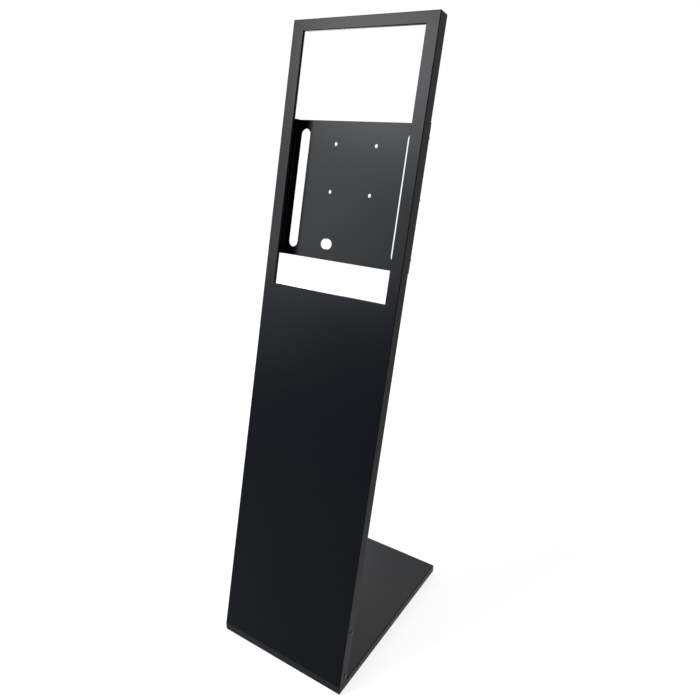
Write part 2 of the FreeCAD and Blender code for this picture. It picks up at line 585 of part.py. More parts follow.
def build_rail(label, front):
    """Channel across the base, open downward, between the floor plate and the tray's top."""
    body = new_body(label)
    rear = f"({front} + dims.rail_width)"
    top = f"({BASE_TOP} - dims.sheet)"
    inner_front, inner_rear = f"({front} + dims.sheet)", f"({rear} - dims.sheet)"
    under = f"({top} - dims.sheet)"
    section = new_sketch(body, "YZ_Plane")
    add_polygon(section, [(front, TRAY_BOTTOM), (front, top), (rear, top), (rear, TRAY_BOTTOM),
                          (inner_rear, TRAY_BOTTOM), (inner_rear, under), (inner_front, under),
                          (inner_front, TRAY_BOTTOM)])
    add_feature(body, "Pad", section, f"2 * ({SIDE} - dims.base_lip - dims.rail_gap)", 0)
    round_edges(body, [{"y": value(side), "z": value(top)} for side in (front, rear)], BEND_OUTSIDE)
    round_edges(body, [{"y": value(side), "z": value(under)} for side in (inner_front, inner_rear)],
                "dims.bend")


def build_plate_fasteners(group, places, seat, nut_seat):
    """Screws from below with their nuts."""
    screws = new_body(group + "_screws")
    length = f"{nut_seat} - {seat} + dims.plate_nut_height + dims.plate_screw_beyond"
    add_screws(screws, "XY_Plane", seat, -1, places, "dims.plate_screw", length,
               "dims.plate_screw_head", "dims.plate_screw_head_height")
    add_keys(screws, "XY_Plane", seat, -1, places, "dims.plate_screw_head_height",
             "dims.plate_screw_dome", "dims.plate_screw_key")
    nuts = new_body(group + "_nuts")
    add_nuts(nuts, "XY_Plane", nut_seat, 1, places, "dims.plate_nut_flats",
             "dims.plate_nut_height", "dims.plate_screw")


def build_foot(label, across, back):
    """Rubber foot with a recess for the head of its screw."""
    body = new_body(label)
    section = new_sketch(body, "XZ_Plane", back, across)
    top_radius = "dims.foot_diameter / 2"
    hole, recess = f"{PLATE_HOLE} / 2", "dims.foot_recess / 2"
    ceiling = "dims.foot_height - dims.foot_web"
    add_polygon(section, [(hole, "dims.foot_height"), (top_radius, "dims.foot_height"),
                          (f"{top_radius} - dims.foot_taper", "0"), (recess, "0"),
                          (recess, ceiling), (hole, ceiling)])
    turned = body.newObject("PartDesign::Revolution", label + "_turned")
    turned.Profile = section
    turned.ReferenceAxis = (section, ["V_Axis"])
    turned.Angle = 360
    body.Tip = turned


def build_all():
    """Every sub-part of the stand."""
    build_front_panel()
    build_bracket()
    clear_of_bends = f"({INSIDE} - dims.bend)"
    build_brace("sill_brace", f"({WINDOW_BOTTOM} - dims.sheet - dims.sill_gap - dims.brace_height)",
                clear_of_bends)
    build_brace("middle_brace", "dims.middle_brace_rise", clear_of_bends)
    build_brace("foot_brace", "dims.foot_brace_rise", f"({CORNER_INNER} - dims.corner_gap)")
    for side, sign in SIDES:
        build_bracket_fasteners(side, sign)
        build_corner_plate(side, sign)
        build_side_fasteners("upright", side, sign, UPRIGHT_SCREWS, leaning=True)
        build_side_fasteners("base", side, sign, BASE_SCREWS, leaning=False)
    build_base_tray()
    build_floor_plate()
    build_rail("base_rail_front", f"({FRONT} + dims.front_rail_inset)")
    build_rail("base_rail_rear", f"({REAR} - dims.rear_rail_inset - dims.rail_width)")
    build_plate_fasteners("floor_plate", PLATE_SCREWS, "dims.foot_height", LIP_TOP)
    for label, (across, back) in FEET.items():
        build_foot(label, across, back)
    build_plate_fasteners("foot", list(FEET.values()), "(dims.foot_height - dims.foot_web)", TRAY_BOTTOM)


def check_document():
    """Stops the run where a feature failed or a sub-part has no sound solid."""
    for item in doc.Objects:
        if "Invalid" in item.State or "Error" in item.State:
            raise RuntimeError(f"{item.Label} failed: {item.State}")
    for body in sub_parts():
        if body.Shape.isNull() or not body.Shape.isValid() or not body.Shape.Solids:
            raise RuntimeError(f"{body.Label} has no sound solid")


def sub_parts():
    """Bodies of the document in the order they were made."""
    return [item for item in doc.Objects if item.TypeId == "PartDesign::Body"]


build_all()
doc.recompute()
check_document()
os.makedirs("parts", exist_ok=True)
for sub_part in sub_parts():
    sub_part.Shape.exportStep(f"parts/{sub_part.Label}.step")
print(len(sub_parts()), "sub-parts written")
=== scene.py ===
"""Digital signage stand of folded sheet steel, dressed and lit for a studio picture.

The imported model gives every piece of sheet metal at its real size, and this script gives those
pieces their finish. It turns the screws, nuts, studs and rubber feet in more detail than the
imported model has, and sets the studio round the stand. Sizes and places of the stand's pieces are
in millimetres. The studio's are in metres, and so are all objects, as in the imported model.
"""
import json
import logging
import math
from dataclasses import dataclass
from enum import Enum

import bmesh
import bpy
from mathutils import Matrix, Vector


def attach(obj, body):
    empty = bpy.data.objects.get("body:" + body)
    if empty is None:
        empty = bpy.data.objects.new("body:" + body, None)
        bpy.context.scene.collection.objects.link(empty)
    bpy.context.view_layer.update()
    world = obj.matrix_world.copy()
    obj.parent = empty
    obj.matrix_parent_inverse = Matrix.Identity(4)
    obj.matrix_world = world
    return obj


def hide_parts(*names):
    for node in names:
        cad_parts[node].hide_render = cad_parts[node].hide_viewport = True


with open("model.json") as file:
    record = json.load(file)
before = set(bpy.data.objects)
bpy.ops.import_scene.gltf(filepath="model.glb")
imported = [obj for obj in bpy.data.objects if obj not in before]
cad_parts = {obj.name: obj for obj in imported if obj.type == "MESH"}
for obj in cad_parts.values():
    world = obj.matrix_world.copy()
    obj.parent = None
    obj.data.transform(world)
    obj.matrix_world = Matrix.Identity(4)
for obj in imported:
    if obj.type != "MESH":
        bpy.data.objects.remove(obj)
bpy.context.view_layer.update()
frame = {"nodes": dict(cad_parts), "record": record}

log = logging.getLogger("signage_stand")

IMAGE_WIDTH = 700
MILLIMETRE = 0.001
ROOT_BODY = "root"
SIDES = {"left": -1, "right": 1}
SHARP_EDGE = 35.0


class Slot(Enum):
    """Material slots of the record."""

    POWDER_COAT = "black_powder_coat"
    ZINC = "zinc_plated_steel"
    BLACK_OXIDE = "black_oxide_steel"
    RUBBER = "rubber"


class Outline(Enum):
    """Shape of a ring, seen along its axis."""

    ROUND = "round"
    HEXAGON = "hexagon"


def linear(hex_colour: str) -> tuple[float, float, float, float]:
    """Turns an sRGB hex colour into linear values.

    Args:
        hex_colour: six hexadecimal digits, with or without a leading hash.

    Returns:
        Red, green, blue and an alpha of one.
    """
    digits = hex_colour.lstrip("#")
    channels = [int(digits[start:start + 2], 16) / 255 for start in (0, 2, 4)]
    turned = [c / 12.92 if c <= 0.04045 else ((c + 0.055) / 1.055) ** 2.4 for c in channels]
    return (*turned, 1.0)


def per_metre(size_mm: float) -> float:
    """Texture scale, in cells per metre, of a pattern whose cells are that many millimetres."""
    return 1.0 / (size_mm * MILLIMETRE)


def add_node(tree: bpy.types.NodeTree, kind: str, links: dict | None = None,
             **settings: str | bool) -> bpy.types.Node:
    """Adds a shader node with its settings and the links into it.

    Args:
        tree: node tree that gets the node.
        kind: the node's type.
        links: input name or number to the output socket or plain value that it takes.
        **settings: attributes of the node itself.

    Returns:
        The new node.
    """
    node = tree.nodes.new(kind)
    for name, setting in settings.items():
        setattr(node, name, setting)
    for name, source in (links or {}).items():
        if isinstance(source, bpy.types.NodeSocket):
            tree.links.new(source, node.inputs[name])
        else:
            node.inputs[name].default_value = source
    return node


def new_material(name: str) -> tuple[bpy.types.Material, bpy.types.NodeTree]:
    """Makes an empty node material.

    Args:
        name: the material's name.

    Returns:
        The material and its node tree.
    """
    material = bpy.data.materials.new(name)
    material.use_nodes = True
    material.node_tree.nodes.clear()
    return material, material.node_tree


@dataclass(frozen=True)
class PowderCoat:
    """Black polyester powder, sprayed and baked on steel: a satin skin with a faint orange peel.

    The peel breaks up the edge of a reflection. The flow of the powder while it melts leaves a
    slower waviness, which shows as a soft mottle in the sheen of a large face.
    """

    colour: str = "#04070c"
    thin_colour: str = "#090c12"
    roughness_low: float = 0.22
    roughness_high: float = 0.30
    specular: float = 0.06
    peel_mm: float = 1.8
    peel_height_mm: float = 0.022
    flow_mm: float = 9.0
    flow_height_mm: float = 0.014
    cloud_mm: float = 140.0

    def build(self) -> bpy.types.Material:
        """Builds the material."""
        material, tree = new_material("black_satin_powder_coat")
        place = add_node(tree, "ShaderNodeTexCoord").outputs["Object"]
        cloud = add_node(tree, "ShaderNodeTexNoise",
                         {"Vector": place, "Scale": per_metre(self.cloud_mm), "Detail": 3.0})
        flow = add_node(tree, "ShaderNodeTexNoise",
                        {"Vector": place, "Scale": per_metre(self.flow_mm), "Detail": 2.0})
        peel = add_node(tree, "ShaderNodeTexNoise",
                        {"Vector": place, "Scale": per_metre(self.peel_mm), "Detail": 2.0})
        colour = add_node(tree, "ShaderNodeMix",
                          {0: flow.outputs["Fac"], 6: linear(self.colour), 7: linear(self.thin_colour)},
                          data_type="RGBA")
        roughness = add_node(tree, "ShaderNodeMapRange",
                             {"Value": cloud.outputs["Fac"], "To Min": self.roughness_low,
                              "To Max": self.roughness_high})
        waves = add_node(tree, "ShaderNodeBump",
                         {"Height": flow.outputs["Fac"], "Strength": 1.0,
                          "Distance": self.flow_height_mm * MILLIMETRE})
        skin = add_node(tree, "ShaderNodeBump",
                        {"Height": peel.outputs["Fac"], "Strength": 1.0, "Normal": waves.outputs["Normal"],
                         "Distance": self.peel_height_mm * MILLIMETRE})
        coat = add_node(tree, "ShaderNodeBsdfPrincipled",
                        {"Base Color": colour.outputs[2], "Roughness": roughness.outputs["Result"],
                         "Specular IOR Level": self.specular, "Normal": skin.outputs["Normal"]})
        add_node(tree, "ShaderNodeOutputMaterial", {"Surface": coat.outputs["BSDF"]})
        return material


@dataclass(frozen=True)
class FastenerSteel:
    """Steel of a screw or nut: metal under a thin finish, with fine marks from the tools.

    The marks spread the glint of a lamp, and the spots keep the finish from looking even.
    """

    name: str
    colour: str
    spot_colour: str
    roughness: float
    smooth_share: float = 0.8
    rough_share: float = 1.25
    spot_mm: float = 1.8
    mark_mm: float = 0.35
    mark_height_mm: float = 0.004

    def build(self) -> bpy.types.Material:
        """Builds the material."""
        material, tree = new_material(self.name)
        place = add_node(tree, "ShaderNodeTexCoord").outputs["Object"]
        spots = add_node(tree, "ShaderNodeTexNoise",
                         {"Vector": place, "Scale": per_metre(self.spot_mm), "Detail": 3.0})
        marks = add_node(tree, "ShaderNodeTexNoise",
                         {"Vector": place, "Scale": per_metre(self.mark_mm), "Detail": 3.0})
        colour = add_node(tree, "ShaderNodeMix",
                          {0: spots.outputs["Fac"], 6: linear(self.colour), 7: linear(self.spot_colour)},
                          data_type="RGBA")
        roughness = add_node(tree, "ShaderNodeMapRange",
                             {"Value": marks.outputs["Fac"],
                              "To Min": self.roughness * self.smooth_share,
                              "To Max": self.roughness * self.rough_share})
        bump = add_node(tree, "ShaderNodeBump",
                        {"Height": marks.outputs["Fac"], "Strength": 1.0,
                         "Distance": self.mark_height_mm * MILLIMETRE})
        metal = add_node(tree, "ShaderNodeBsdfPrincipled",
                         {"Base Color": colour.outputs[2], "Metallic": 1.0,
                          "Roughness": roughness.outputs["Result"], "Normal": bump.outputs["Normal"]})
        add_node(tree, "ShaderNodeOutputMaterial", {"Surface": metal.outputs["BSDF"]})
        return material


@dataclass(frozen=True)
class MouldedRubber:
    """Black rubber as it comes from a mould: matt, with a fine grain that dulls every highlight."""

    colour: str = "#141516"
    worn_colour: str = "#1e1f21"
    roughness: float = 0.8
    specular: float = 0.3
    bloom_mm: float = 6.0
    grain_mm: float = 0.6
    grain_height_mm: float = 0.03

    def build(self) -> bpy.types.Material:
        """Builds the material."""
        material, tree = new_material("moulded_rubber")
        place = add_node(tree, "ShaderNodeTexCoord").outputs["Object"]
        bloom = add_node(tree, "ShaderNodeTexNoise",
                         {"Vector": place, "Scale": per_metre(self.bloom_mm), "Detail": 2.0})
        grain = add_node(tree, "ShaderNodeTexNoise",
                         {"Vector": place, "Scale": per_metre(self.grain_mm), "Detail": 2.0})
        colour = add_node(tree, "ShaderNodeMix",
                          {0: bloom.outputs["Fac"], 6: linear(self.colour), 7: linear(self.worn_colour)},
                          data_type="RGBA")
        bump = add_node(tree, "ShaderNodeBump",
                        {"Height": grain.outputs["Fac"], "Strength": 1.0,
                         "Distance": self.grain_height_mm * MILLIMETRE})
        rubber = add_node(tree, "ShaderNodeBsdfPrincipled",
                          {"Base Color": colour.outputs[2], "Roughness": self.roughness,
                           "Specular IOR Level": self.specular, "Normal": bump.outputs["Normal"]})
        add_node(tree, "ShaderNodeOutputMaterial", {"Surface": rubber.outputs["BSDF"]})
        return material


class RingShape:
    """A closed shape grown ring by ring round the Z axis, in millimetres."""

    SEGMENTS = 36
    CHAMFER_SLOPE = math.tan(math.radians(30))
    THREAD_DEPTH = 0.61
    CREST_START = 0.42
    CREST_END = 0.58

    def __init__(self, radius: float, height: float, capped: bool = False) -> None:
        """Starts the shape with a round ring.

        Args:
            radius: the ring's radius.
            height: its place along the axis.
            capped: whether a face closes it, as at the tip of a screw.
        """
        self.shape = bmesh.new()
        made = bmesh.ops.create_circle(self.shape, cap_ends=capped, segments=self.SEGMENTS, radius=radius)
        bmesh.ops.translate(self.shape, verts=made["verts"], vec=(0.0, 0.0, height))
        self.edges = list(self.shape.edges)
        self.start = list(self.edges)

    def grow(self, radius: float, height: float, outline: Outline = Outline.ROUND, chamfer: int = 0) -> None:
        """Extrudes the last ring into a new one.

        Args:
            radius: the new ring's radius, or half the distance across the flats of a hexagon.
            height: its place along the axis, for a hexagon in the middle of its flats.
            outline: round or hexagonal.
            chamfer: 1 where the corners of a hexagon lie higher than its flats, -1 where lower.
        """
        made = bmesh.ops.extrude_edge_only(self.shape, edges=self.edges)["geom"]
        fresh = {item for item in made if isinstance(item, bmesh.types.BMVert)}
        for point in fresh:
            angle = math.atan2(point.co.y, point.co.x)
            reach = radius
            if outline is Outline.HEXAGON:
                reach = radius / math.cos(angle % (math.pi / 3) - math.pi / 6)
            point.co = (reach * math.cos(angle), reach * math.sin(angle),
                        height + chamfer * (reach - radius) * self.CHAMFER_SLOPE)
        self.edges = [item for item in made
                      if isinstance(item, bmesh.types.BMEdge) and fresh.issuperset(item.verts)]

    def follow(self, rings: list[tuple[float, float]]) -> None:
        """Grows a run of round rings, each given as radius and height."""
        for radius, height in rings:
            self.grow(radius, height)

    def grow_thread(self, radius: float, pitch: float, bottom: float, top: float) -> None:
        """Grows thread crests and roots upward.

        Args:
            radius: outer radius of the thread.
            pitch: distance between two crests.
            bottom: where the thread starts.
            top: where it ends.
        """
        depth = self.THREAD_DEPTH * pitch
        for turn in range(int((top - bottom) / pitch)):
            height = bottom + turn * pitch
            self.follow([(radius - depth, height), (radius, height + self.CREST_START * pitch),
                         (radius, height + self.CREST_END * pitch)])

    def join_ends(self) -> None:
        """Closes a shape with a bore, from its last ring back to its first."""
        bmesh.ops.bridge_loops(self.shape, edges=self.edges + self.start)

    def cap_end(self) -> None:
        """Closes the last ring with a face."""
        bmesh.ops.contextual_create(self.shape, geom=self.edges)

    def to_mesh(self, name: str) -> bpy.types.Mesh:
        """Turns the faces outward and writes the shape to a mesh."""
        bmesh.ops.recalc_face_normals(self.shape, faces=list(self.shape.faces))
        mesh = bpy.data.meshes.new(name)
        self.shape.to_mesh(mesh)
        self.shape.free()
        return mesh


def arc(centre: tuple[float, float], radius: float, start: float, end: float,
        steps: int) -> list[tuple[float, float]]:
    """Gives rings along the rounding of an edge.

    Args:
        centre: radius and height of the rounding's middle.
        radius: its own radius.
        start: where it starts, in degrees above level.
        end: where it ends.
        steps: how many rings it has after the first.

    Returns:
        Radius and height of each ring.
    """
    angles = [math.radians(start + (end - start) * step / steps) for step in range(steps + 1)]
    return [(centre[0] + radius * math.cos(a), centre[1] + radius * math.sin(a)) for a in angles]


@dataclass(frozen=True)
class ButtonScrew:
    """Button-head socket screw: its seat at zero, head upward and thread downward."""

    length: float
    thread: float = 4.0
    pitch: float = 0.7
    head: float = 7.6
    head_height: float = 2.2
    dome: float = 1.7
    key: float = 2.5
    key_depth: float = 1.5
    key_chamfer: float = 0.12
    key_point: float = 0.3
    key_point_radius: float = 0.2
    tip: float = 0.5
    thread_lead: float = 0.1
    thread_end: float = 0.9
    plain: float = 0.5
    rim_break: float = 0.2
    rim_rise: float = 0.15

    def to_mesh(self) -> bpy.types.Mesh:
        """Turns the screw and cuts its hexagon key."""
        shank, rim, key = self.thread / 2, self.head / 2, self.key / 2
        key_floor = self.head_height - self.key_depth
        shape = RingShape(shank - self.tip, -self.length, capped=True)
        shape.grow(shank, -self.length + self.tip)
        shape.grow_thread(shank, self.pitch, -self.length + self.tip + self.thread_lead,
                          -self.thread_end)
        shape.follow([(shank, -self.plain), (shank, 0.0), (rim - self.rim_break, 0.0),
                      (rim, self.rim_rise)])
        shape.follow(arc((rim - self.dome, self.head_height - self.dome), self.dome, 0.0, 90.0, 8))
        shape.grow(key + self.key_chamfer, self.head_height, Outline.HEXAGON)
        shape.grow(key, self.head_height - self.key_chamfer, Outline.HEXAGON)
        shape.grow(key, key_floor, Outline.HEXAGON)
        shape.grow(self.key_point_radius, key_floor - self.key_point)
        shape.cap_end()
        return shape.to_mesh("button_screw")


@dataclass(frozen=True)
class HexNut:
    """Hexagon nut with chamfered corners: its seat at zero."""

    flats: float = 7.0
    height: float = 3.2
    thread: float = 4.0
    sink: float = 0.35
    play: float = 0.05
    face_inset: float = 0.15
    corner_drop: float = 0.1

    def to_mesh(self) -> bpy.types.Mesh:
        """Shapes the nut."""
        half, bore = self.flats / 2, self.thread / 2 + self.play
        shape = RingShape(bore, self.sink)
        shape.follow([(bore + self.sink, 0.0), (half - self.face_inset, 0.0)])
        shape.grow(half, self.corner_drop, Outline.HEXAGON, chamfer=1)
        shape.grow(half, self.height - self.corner_drop, Outline.HEXAGON, chamfer=-1)
        shape.follow([(half - self.face_inset, self.height), (bore + self.sink, self.height),
                      (bore, self.height - self.sink)])
        shape.join_ends()
        return shape.to_mesh("hex_nut")


@dataclass(frozen=True)
class FlangeNut:
    """Hexagon nut on a round rim with a sloping top: its seat at zero."""

    flats: float = 8.0
    height: float = 5.0
    rim: float = 11.0
    rim_height: float = 1.2
    rim_rise: float = 0.15
    rim_edge: float = 0.5
    rim_break: float = 0.2
    thread: float = 5.0
    sink: float = 0.4
    play: float = 0.05
    fillet: float = 0.05
    fillet_rise: float = 0.15
    face_inset: float = 0.2
    corner_drop: float = 0.15

    def to_mesh(self) -> bpy.types.Mesh:
        """Shapes the nut."""
        half, rim, bore = self.flats / 2, self.rim / 2, self.thread / 2 + self.play
        shape = RingShape(bore, self.sink)
        shape.follow([(bore + self.sink, 0.0), (rim - self.rim_break, 0.0), (rim, self.rim_rise),
                      (rim, self.rim_edge), (rim - self.rim_break, self.rim_edge + self.rim_break)])
        shape.grow(half + self.fillet, self.rim_height, Outline.HEXAGON)
        shape.grow(half, self.rim_height + self.fillet_rise, Outline.HEXAGON)
        shape.grow(half, self.height - self.corner_drop, Outline.HEXAGON, chamfer=-1)
        shape.follow([(half - self.face_inset, self.height), (bore + self.sink, self.height),
                      (bore, self.height - self.sink)])
        shape.join_ends()
        return shape.to_mesh("flange_nut")


@dataclass(frozen=True)
class HeadedStud:
    """Threaded stud pressed into sheet: its head above zero and its thread below."""

    length: float = 10.2
    thread: float = 5.0
    pitch: float = 0.8
    head: float = 7.0
    head_height: float = 1.4
    plain: float = 1.3
    tip: float = 0.6
    thread_lead: float = 0.1
    rim_break: float = 0.15
    rounding: float = 0.3

    def to_mesh(self) -> bpy.types.Mesh:
        """Turns the stud."""
        shank, rim, soft = self.thread / 2, self.head / 2, self.rounding
        shape = RingShape(shank - self.tip, -self.length, capped=True)
        shape.grow(shank, -self.length + self.tip)
        shape.grow_thread(shank, self.pitch, -self.length + self.tip + self.thread_lead, -self.plain)
        shape.follow([(shank, -self.plain), (shank, 0.0), (rim - self.rim_break, 0.0),
                      (rim, self.rim_break)])
        shape.follow(arc((rim - soft, self.head_height - soft), soft, 0.0, 90.0, 3))
        shape.cap_end()
        return shape.to_mesh("headed_stud")


@dataclass(frozen=True)
class RubberFoot:
    """Round foot that narrows to the floor, with a recess for its screw: the floor at zero."""

    height: float = 4.0
    radius: float = 12.0
    floor_radius: float = 10.5
    recess: float = 4.8
    web: float = 1.2
    hole: float = 2.15
    rounding: float = 0.7
    recess_rounding: float = 0.4
    ceiling_break: float = 0.2
    top_inset: float = 0.3
    top_break: float = 0.2
    wall_inset: float = 0.1
    wall_slope: float = 10.0

    def to_mesh(self) -> bpy.types.Mesh:
        """Moulds the foot."""
        ceiling, soft, mouth = self.height - self.web, self.rounding, self.recess_rounding
        shape = RingShape(self.hole, self.height)
        shape.follow([(self.radius - self.top_inset, self.height),
                      (self.radius - self.wall_inset, self.height - self.top_break)])
        shape.follow(arc((self.floor_radius - soft, soft), soft, self.wall_slope, -90.0, 6))
        shape.follow(arc((self.recess + mouth, mouth), mouth, -90.0, -180.0, 4))
        shape.follow([(self.recess, ceiling - self.ceiling_break),
                      (self.recess - self.ceiling_break, ceiling), (self.hole, ceiling)])
        shape.join_ends()
        return shape.to_mesh("rubber_foot")


@dataclass(frozen=True)
class UprightAxes:
    """The upright's own axes: across, rearward from its face, and up its slope from the foot bend."""

    lean: float = 14.4
    foot_back: float = -234.5
    foot_rise: float = 24.5

    def turned(self) -> Matrix:
        """Turn from the upright's axes to the stand's."""
        return Matrix.Rotation(math.radians(-self.lean), 3, "X")

    def point(self, across: float, rearward: float, along: float) -> Vector:
        """Place in the stand's axes of a place on the upright, in millimetres."""
        foot = Vector((0.0, self.foot_back, self.foot_rise))
        return foot + self.turned() @ Vector((across, rearward, along))

    def way(self, across: float, rearward: float) -> Vector:
        """Direction in the stand's axes of a direction that is level across the upright."""
        return self.turned() @ Vector((across, rearward, 0.0))


def standing_at(seat: Vector, way: Vector, turn: float) -> Matrix:
    """Gives the place of a fastener made in millimetres.

    Args:
        seat: the middle of its seat, in millimetres.
        way: where its own Z axis points.
        turn: how far it is turned about that axis, in degrees.

    Returns:
        The matrix from the fastener's millimetres to the stand's metres.
    """
    return (Matrix.Translation(seat * MILLIMETRE) @ way.to_track_quat("Z", "Y").to_matrix().to_4x4()
            @ Matrix.Rotation(math.radians(turn), 4, "Z") @ Matrix.Scale(MILLIMETRE, 4))


def make_piece(name: str, pattern: bpy.types.Mesh, places: list[Matrix],
               material: bpy.types.Material, node: str) -> bpy.types.Object:
    """Makes one piece of a set of equal fasteners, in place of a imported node.

    Args:
        name: the piece's name.
        pattern: mesh of one fastener, which is used up.
        places: where each of them goes.
        material: its finish.
        node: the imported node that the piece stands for.

    Returns:
        The new object.
    """
    whole = bmesh.new()
    for place in places:
        one = pattern.copy()
        one.transform(place)
        whole.from_mesh(one)
        bpy.data.meshes.remove(one)
    bpy.data.meshes.remove(pattern)
    mesh = bpy.data.meshes.new(name)
    whole.to_mesh(mesh)
    whole.free()
    mesh.polygons.foreach_set("use_smooth", [True] * len(mesh.polygons))
    mesh.set_sharp_from_angle(angle=math.radians(SHARP_EDGE))
    mesh.materials.append(material)
    piece = bpy.data.objects.new(name, mesh)
    bpy.context.scene.collection.objects.link(piece)
    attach(piece, ROOT_BODY)
    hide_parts(node)
    log.info("%s: %d of them, %d faces", name, len(places), len(mesh.polygons))
    return piece


@dataclass
class BracketFasteners:
    """Studs pressed into the rear lips of the upright, and the flange nuts on them."""

    finishes: dict[Slot, bpy.types.Material]
    axes: UprightAxes = UprightAxes()
    side: float = 165.25
    rises: tuple[float, ...] = (953.25, 1071.75, 1190.25)
    lip_inside: float = 26.8
    flange_rear: float = 30.0
    stud_turn: float = 17.0
    nut_turn: float = 23.0

    def build(self) -> None:
        """Builds the studs and nuts of both sides."""
        for side, sign in SIDES.items():
            studs = [standing_at(self.axes.point(sign * self.side, self.lip_inside, rise),
                                 self.axes.way(0.0, -1.0), self.stud_turn * index)
                     for index, rise in enumerate(self.rises)]
            make_piece(f"pressed_studs_{side}", HeadedStud().to_mesh(), studs,
                       self.finishes[Slot.ZINC], f"bracket_studs_{side}")
            nuts = [standing_at(self.axes.point(sign * self.side, self.flange_rear, rise),
                                self.axes.way(0.0, 1.0), self.nut_turn * index * sign)
                    for index, rise in enumerate(self.rises)]
            make_piece(f"flange_nuts_{side}", FlangeNut().to_mesh(), nuts,
                       self.finishes[Slot.BLACK_OXIDE], f"bracket_nuts_{side}")


@dataclass
class CornerFasteners:
    """Screws through the sides into the corner plates, and the nuts on those plates."""

    finishes: dict[Slot, bpy.types.Material]
    axes: UprightAxes = UprightAxes()
    side: float = 171.25
    plate_inside: float = 167.05
    upright_depth: float = 19.8
    upright_rises: tuple[float, ...] = (20.0, 128.0)
    base_backs: tuple[float, ...] = (-194.5, -153.5)
    base_height: float = 15.75
    screw_length: float = 10.0
    first_turn: float = 11.0
    turn_step: float = 29.0

    def build(self) -> None:
        """Builds the screws and nuts of both sides."""
        for side, sign in SIDES.items():
            outward, inward = Vector((sign, 0.0, 0.0)), Vector((-sign, 0.0, 0.0))
            groups = {
                "upright": [self.axes.point(0.0, self.upright_depth, rise) for rise in self.upright_rises],
                "base": [Vector((0.0, back, self.base_height)) for back in self.base_backs],
            }
            for group, middles in groups.items():
                heads = [standing_at(middle + outward * self.side, outward,
                                     self.first_turn + self.turn_step * index)
                         for index, middle in enumerate(middles)]
                make_piece(f"button_screws_{group}_{side}", ButtonScrew(self.screw_length).to_mesh(),
                           heads, self.finishes[Slot.BLACK_OXIDE],
                           f"{group}_screws_{side}")
                nuts = [standing_at(middle + outward * self.plate_inside, inward, 0.0) for middle in middles]
                make_piece(f"hex_nuts_{group}_{side}", HexNut().to_mesh(), nuts,
                           self.finishes[Slot.ZINC], f"{group}_nuts_{side}")


@dataclass
class Underside:
    """Screws and nuts of the floor plate, and the rubber feet with theirs."""

    finishes: dict[Slot, bpy.types.Material]
    screw_side: float = 165.25
    screw_backs: tuple[float, ...] = (-104.5, 53.5, 211.5)
    screw_seat: float = 4.0
    nut_seat: float = 8.2
    foot_side: float = 137.25
    foot_back: float = 200.5
    foot_seat: float = 2.8
    foot_nut_seat: float = 7.0
    screw_length: float = 9.4
    screw_turn: float = 31.0
    nut_turn: float = 13.0

    def build(self) -> None:
        """Builds everything under and in the base."""
        down, up = Vector((0.0, 0.0, -1.0)), Vector((0.0, 0.0, 1.0))
        feet = {"front": -self.foot_back, "rear": self.foot_back}
        rows = {
            "floor_plate": ([(sign * self.screw_side, back) for sign in SIDES.values()
                             for back in self.screw_backs], self.screw_seat, self.nut_seat),
            "foot": ([(sign * self.foot_side, back) for sign in SIDES.values()
                      for back in feet.values()], self.foot_seat, self.foot_nut_seat),
        }
        for group, (places, seat, nut_seat) in rows.items():
            screws = [standing_at(Vector((x, y, seat)), down, self.screw_turn * index)
                      for index, (x, y) in enumerate(places)]
            make_piece(f"button_screws_{group}", ButtonScrew(self.screw_length).to_mesh(), screws,
                       self.finishes[Slot.ZINC], f"{group}_screws")
            nuts = [standing_at(Vector((x, y, nut_seat)), up, self.nut_turn * index)
                    for index, (x, y) in enumerate(places)]
            make_piece(f"hex_nuts_{group}", HexNut().to_mesh(), nuts,
                       self.finishes[Slot.ZINC], f"{group}_nuts")
        for side, sign in SIDES.items():
            for end, back in feet.items():
                make_piece(f"rubber_foot_{end}_{side}", RubberFoot().to_mesh(),
                           [standing_at(Vector((sign * self.foot_side, back, 0.0)), up, 0.0)],
                           self.finishes[Slot.RUBBER], f"foot_{end}_{side}")


@dataclass
class SheetMetal:
    """Folded and cut sheet of the upright, bracket, braces, corner plates and base."""

    finishes: dict[Slot, bpy.types.Material]

    def build(self) -> None:
        """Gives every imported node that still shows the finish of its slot."""
        for part in frame["record"]["subparts"]:
            node = frame["nodes"][part["node"]]
            if node.hide_render:
                continue
            node.data.materials.clear()
            node.data.materials.append(self.finishes[Slot(part["material_slot"])])
            log.info("%s: %s", node.name, part["material_slot"])


@dataclass(frozen=True)
class Softbox:
    """Soft rectangular lamp: its middle, the point it faces, its width and height, and its power."""

    name: str
    place: tuple[float, float, float]
    aim: tuple[float, float, float]
    size: tuple[float, float]
    watts: float

    def hang(self) -> None:
        """Hangs the lamp, out of the camera's sight."""
        lamp = bpy.data.lights.new(self.name, "AREA")
        lamp.shape = "RECTANGLE"
        lamp.size, lamp.size_y = self.size
        lamp.energy = self.watts
        box = bpy.data.objects.new(self.name, lamp)
        box.visible_camera = False
        bpy.context.scene.collection.objects.link(box)
        box.location = self.place
        toward = Vector(self.aim) - Vector(self.place)
        box.rotation_euler = toward.to_track_quat("-Z", "Y").to_euler()


